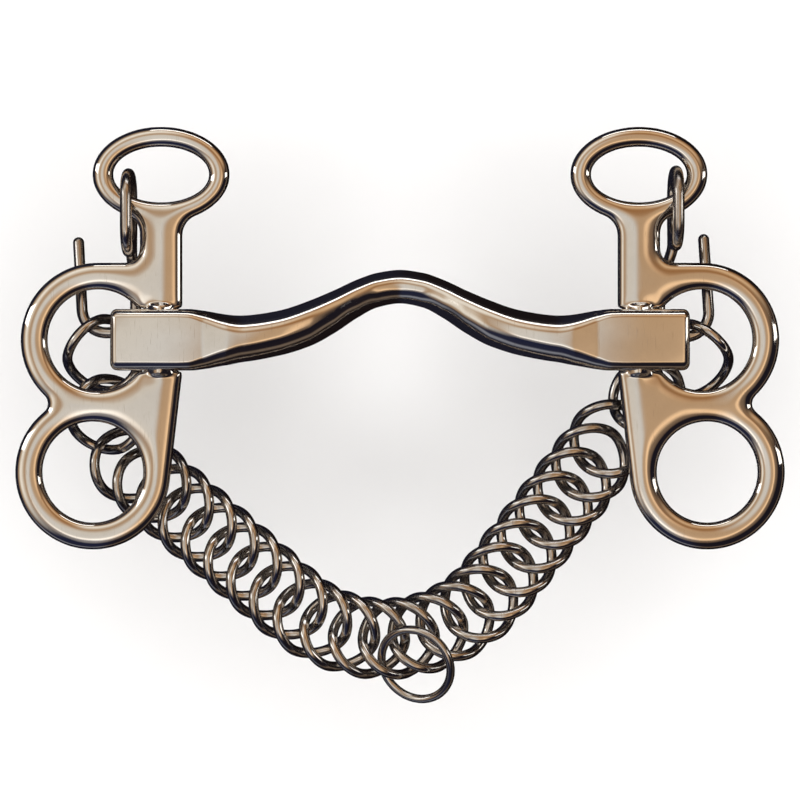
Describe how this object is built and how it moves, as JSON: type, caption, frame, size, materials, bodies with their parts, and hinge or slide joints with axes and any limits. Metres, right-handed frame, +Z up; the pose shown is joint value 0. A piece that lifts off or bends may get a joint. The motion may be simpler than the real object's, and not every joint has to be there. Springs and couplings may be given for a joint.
{
  "type": "curb bit",
  "caption": "Loose-cheek butterfly curb bit with a low port, a curb hook in each eye, and a ring-linked curb chain with a fly link, laid flat with the chain hooked up",
  "frame": {"origin": "centre of the bounding box's underside, where the hardware rests on the table", "axes": "+X along the mouthpiece towards the right cheek, +Y from the mouthpiece to the eyes, +Z up from the table"},
  "size_m": [0.2242, 0.1691, 0.0245],
  "materials": {
    "cast_steel": "mirror-polished stainless steel with fine handling scratches",
    "wire_steel": "polished stainless wire, duller and darker in the crevices"
  },
  "bodies": {
    "mouthpiece": {"mouthpiece": "cast_steel"},
    "left_cheek": {"left_cheek": "cast_steel"},
    "right_cheek": {"right_cheek": "cast_steel"},
    "left_curb_hook": {"left_curb_hook": "wire_steel"},
    "right_curb_hook": {"right_curb_hook": "wire_steel"},
    "left_hook_ring": {"left_hook_ring": "wire_steel"},
    "right_hook_ring": {"right_hook_ring": "wire_steel"},
    "left_end_ring": {"left_end_ring": "wire_steel"},
    "right_end_ring": {"right_end_ring": "wire_steel"},
    "fly_link": {"fly_link": "wire_steel"},
    "chain_link_01": {"chain_link_01": "wire_steel"},
    "chain_link_02": {"chain_link_02": "wire_steel"},
    "chain_link_03": {"chain_link_03": "wire_steel"},
    "chain_link_04": {"chain_link_04": "wire_steel"},
    "chain_link_05": {"chain_link_05": "wire_steel"},
    "chain_link_06": {"chain_link_06": "wire_steel"},
    "chain_link_07": {"chain_link_07": "wire_steel"},
    "chain_link_08": {"chain_link_08": "wire_steel"},
    "chain_link_09": {"chain_link_09": "wire_steel"},
    "chain_link_10": {"chain_link_10": "wire_steel"},
    "chain_link_11": {"chain_link_11": "wire_steel"},
    "chain_link_12": {"chain_link_12": "wire_steel"},
    "chain_link_13": {"chain_link_13": "wire_steel"},
    "chain_link_14": {"chain_link_14": "wire_steel"},
    "chain_link_15": {"chain_link_15": "wire_steel"},
    "chain_link_16": {"chain_link_16": "wire_steel"},
    "chain_link_17": {"chain_link_17": "wire_steel"},
    "chain_link_18": {"chain_link_18": "wire_steel"},
    "chain_link_19": {"chain_link_19": "wire_steel"},
    "chain_link_20": {"chain_link_20": "wire_steel"},
    "chain_link_21": {"chain_link_21": "wire_steel"},
    "chain_link_22": {"chain_link_22": "wire_steel"}
  },
  "joints": [
    {"name": "left_cheek_swivel", "type": "hinge", "parent": "mouthpiece", "child": "left_cheek", "pos_m": [-0.0696, 0.0225, 0.0155], "axis": [0, 1, 0], "range_deg": [-1, 12]},
    {"name": "right_cheek_swivel", "type": "hinge", "parent": "mouthpiece", "child": "right_cheek", "pos_m": [0.0696, 0.0225, 0.0155], "axis": [0, -1, 0], "range_deg": [-1, 12]},
    {"name": "left_hook_turn", "type": "hinge", "parent": "left_cheek", "child": "left_curb_hook", "pos_m": [-0.0696, 0.0595, 0.0155], "axis": [0, 1, 0], "range_deg": [-12.5, 1.5]},
    {"name": "right_hook_turn", "type": "hinge", "parent": "right_cheek", "child": "right_curb_hook", "pos_m": [0.0696, 0.0615, 0.0155], "axis": [0, -1, 0], "range_deg": [-12.5, 1.5]},
    {"name": "curb_chain_swing", "type": "hinge", "parent": "left_curb_hook", "child": "left_hook_ring", "pos_m": [-0.0858, 0.0268, 0.0081], "axis": [1, -0.0071, 0.0024], "range_deg": [0, 45]},
    {"name": "left_end_ring_swing", "type": "hinge", "parent": "left_curb_hook", "child": "left_end_ring", "pos_m": [-0.0858, 0.0268, 0.0081], "axis": [1, -0.0071, 0.0024], "range_deg": [-0.5, 45.12]},
    {"name": "chain_link_01_swing", "type": "hinge", "parent": "left_curb_hook", "child": "chain_link_01", "pos_m": [-0.0858, 0.0268, 0.0081], "axis": [1, -0.0071, 0.0024], "range_deg": [-0.5, 44.8]},
    {"name": "chain_link_02_swing", "type": "hinge", "parent": "left_curb_hook", "child": "chain_link_02", "pos_m": [-0.0858, 0.0268, 0.0081], "axis": [1, -0.0071, 0.0024], "range_deg": [-0.5, 44.68]},
    {"name": "chain_link_03_swing", "type": "hinge", "parent": "left_curb_hook", "child": "chain_link_03", "pos_m": [-0.0858, 0.0268, 0.0081], "axis": [1, -0.0071, 0.0024], "range_deg": [-0.5, 44.55]},
    {"name": "chain_link_04_swing", "type": "hinge", "parent": "left_curb_hook", "child": "chain_link_04", "pos_m": [-0.0858, 0.0268, 0.0081], "axis": [1, -0.0071, 0.0024], "range_deg": [-0.5, 44.43]},
    {"name": "chain_link_05_swing", "type": "hinge", "parent": "left_curb_hook", "child": "chain_link_05", "pos_m": [-0.0858, 0.0268, 0.0081], "axis": [1, -0.0071, 0.0024], "range_deg": [-0.5, 44.3]},
    {"name": "chain_link_06_swing", "type": "hinge", "parent": "left_curb_hook", "child": "chain_link_06", "pos_m": [-0.0858, 0.0268, 0.0081], "axis": [1, -0.0071, 0.0024], "range_deg": [-0.5, 44.18]},
    {"name": "chain_link_07_swing", "type": "hinge", "parent": "left_curb_hook", "child": "chain_link_07", "pos_m": [-0.0858, 0.0268, 0.0081], "axis": [1, -0.0071, 0.0024], "range_deg": [-0.5, 44.06]},
    {"name": "chain_link_08_swing", "type": "hinge", "parent": "left_curb_hook", "child": "chain_link_08", "pos_m": [-0.0858, 0.0268, 0.0081], "axis": [1, -0.0071, 0.0024], "range_deg": [-0.5, 43.93]},
    {"name": "chain_link_09_swing", "type": "hinge", "parent": "left_curb_hook", "child": "chain_link_09", "pos_m": [-0.0858, 0.0268, 0.0081], "axis": [1, -0.0071, 0.0024], "range_deg": [-0.5, 43.82]},
    {"name": "chain_link_10_swing", "type": "hinge", "parent": "left_curb_hook", "child": "chain_link_10", "pos_m": [-0.0858, 0.0268, 0.0081], "axis": [1, -0.0071, 0.0024], "range_deg": [-0.5, 43.74]},
    {"name": "chain_link_11_swing", "type": "hinge", "parent": "left_curb_hook", "child": "chain_link_11", "pos_m": [-0.0858, 0.0268, 0.0081], "axis": [1, -0.0071, 0.0024], "range_deg": [-0.5, 43.7]},
    {"name": "chain_link_12_swing", "type": "hinge", "parent": "left_curb_hook", "child": "chain_link_12", "pos_m": [-0.0858, 0.0268, 0.0081], "axis": [1, -0.0071, 0.0024], "range_deg": [-0.5, 43.7]},
    {"name": "chain_link_13_swing", "type": "hinge", "parent": "left_curb_hook", "child": "chain_link_13", "pos_m": [-0.0858, 0.0268, 0.0081], "axis": [1, -0.0071, 0.0024], "range_deg": [-0.5, 43.74]},
    {"name": "chain_link_14_swing", "type": "hinge", "parent": "left_curb_hook", "child": "chain_link_14", "pos_m": [-0.0858, 0.0268, 0.0081], "axis": [1, -0.0071, 0.0024], "range_deg": [-0.5, 43.82]},
    {"name": "chain_link_15_swing", "type": "hinge", "parent": "left_curb_hook", "child": "chain_link_15", "pos_m": [-0.0858, 0.0268, 0.0081], "axis": [1, -0.0071, 0.0024], "range_deg": [-0.5, 43.93]},
    {"name": "chain_link_16_swing", "type": "hinge", "parent": "left_curb_hook", "child": "chain_link_16", "pos_m": [-0.0858, 0.0268, 0.0081], "axis": [1, -0.0071, 0.0024], "range_deg": [-0.5, 44.08]},
    {"name": "chain_link_17_swing", "type": "hinge", "parent": "left_curb_hook", "child": "chain_link_17", "pos_m": [-0.0858, 0.0268, 0.0081], "axis": [1, -0.0071, 0.0024], "range_deg": [-0.5, 44.23]},
    {"name": "chain_link_18_swing", "type": "hinge", "parent": "left_curb_hook", "child": "chain_link_18", "pos_m": [-0.0858, 0.0268, 0.0081], "axis": [1, -0.0071, 0.0024], "range_deg": [-0.5, 44.38]},
    {"name": "chain_link_19_swing", "type": "hinge", "parent": "left_curb_hook", "child": "chain_link_19", "pos_m": [-0.0858, 0.0268, 0.0081], "axis": [1, -0.0071, 0.0024], "range_deg": [-0.5, 44.53]},
    {"name": "chain_link_20_swing", "type": "hinge", "parent": "left_curb_hook", "child": "chain_link_20", "pos_m": [-0.0858, 0.0268, 0.0081], "axis": [1, -0.0071, 0.0024], "range_deg": [-0.5, 44.68]},
    {"name": "chain_link_21_swing", "type": "hinge", "parent": "left_curb_hook", "child": "chain_link_21", "pos_m": [-0.0858, 0.0268, 0.0081], "axis": [1, -0.0071, 0.0024], "range_deg": [-0.5, 44.84]},
    {"name": "chain_link_22_swing", "type": "hinge", "parent": "left_curb_hook", "child": "chain_link_22", "pos_m": [-0.0858, 0.0268, 0.0081], "axis": [1, -0.0071, 0.0024], "range_deg": [-0.5, 44.99]},
    {"name": "right_end_ring_swing", "type": "hinge", "parent": "left_curb_hook", "child": "right_end_ring", "pos_m": [-0.0858, 0.0268, 0.0081], "axis": [1, -0.0071, 0.0024], "range_deg": [-0.5, 45.25]},
    {"name": "right_hook_ring_swing", "type": "hinge", "parent": "left_curb_hook", "child": "right_hook_ring", "pos_m": [-0.0858, 0.0268, 0.0081], "axis": [1, -0.0071, 0.0024], "range_deg": [-0.5, 45.5]},
    {"name": "fly_link_tilt", "type": "hinge", "parent": "chain_link_12", "child": "fly_link", "pos_m": [-0.0037, -0.07538, 0.00756], "axis": [0.8662, -0.3811, -0.3231], "range_deg": [-3, 15]}
  ],
  "couplings": [
    {"joint": "left_hook_turn", "follows": "left_cheek_swivel", "ratio": -1},
    {"joint": "right_hook_turn", "follows": "right_cheek_swivel", "ratio": -1},
    {"joint": "left_end_ring_swing", "follows": "curb_chain_swing", "ratio": 0.9916},
    {"joint": "chain_link_01_swing", "follows": "curb_chain_swing", "ratio": 0.9845},
    {"joint": "chain_link_02_swing", "follows": "curb_chain_swing", "ratio": 0.9817},
    {"joint": "chain_link_03_swing", "follows": "curb_chain_swing", "ratio": 0.979},
    {"joint": "chain_link_04_swing", "follows": "curb_chain_swing", "ratio": 0.9762},
    {"joint": "chain_link_05_swing", "follows": "curb_chain_swing", "ratio": 0.9734},
    {"joint": "chain_link_06_swing", "follows": "curb_chain_swing", "ratio": 0.9707},
    {"joint": "chain_link_07_swing", "follows": "curb_chain_swing", "ratio": 0.9679},
    {"joint": "chain_link_08_swing", "follows": "curb_chain_swing", "ratio": 0.9651},
    {"joint": "chain_link_09_swing", "follows": "curb_chain_swing", "ratio": 0.9626},
    {"joint": "chain_link_10_swing", "follows": "curb_chain_swing", "ratio": 0.9609},
    {"joint": "chain_link_11_swing", "follows": "curb_chain_swing", "ratio": 0.96},
    {"joint": "chain_link_12_swing", "follows": "curb_chain_swing", "ratio": 0.96},
    {"joint": "chain_link_13_swing", "follows": "curb_chain_swing", "ratio": 0.9609},
    {"joint": "chain_link_14_swing", "follows": "curb_chain_swing", "ratio": 0.9626},
    {"joint": "chain_link_15_swing", "follows": "curb_chain_swing", "ratio": 0.9652},
    {"joint": "chain_link_16_swing", "follows": "curb_chain_swing", "ratio": 0.9683},
    {"joint": "chain_link_17_swing", "follows": "curb_chain_swing", "ratio": 0.9717},
    {"joint": "chain_link_18_swing", "follows": "curb_chain_swing", "ratio": 0.9751},
    {"joint": "chain_link_19_swing", "follows": "curb_chain_swing", "ratio": 0.9785},
    {"joint": "chain_link_20_swing", "follows": "curb_chain_swing", "ratio": 0.9819},
    {"joint": "chain_link_21_swing", "follows": "curb_chain_swing", "ratio": 0.9852},
    {"joint": "chain_link_22_swing", "follows": "curb_chain_swing", "ratio": 0.9886},
    {"joint": "right_end_ring_swing", "follows": "curb_chain_swing", "ratio": 0.9944},
    {"joint": "right_hook_ring_swing", "follows": "curb_chain_swing", "ratio": 1}
  ]
}
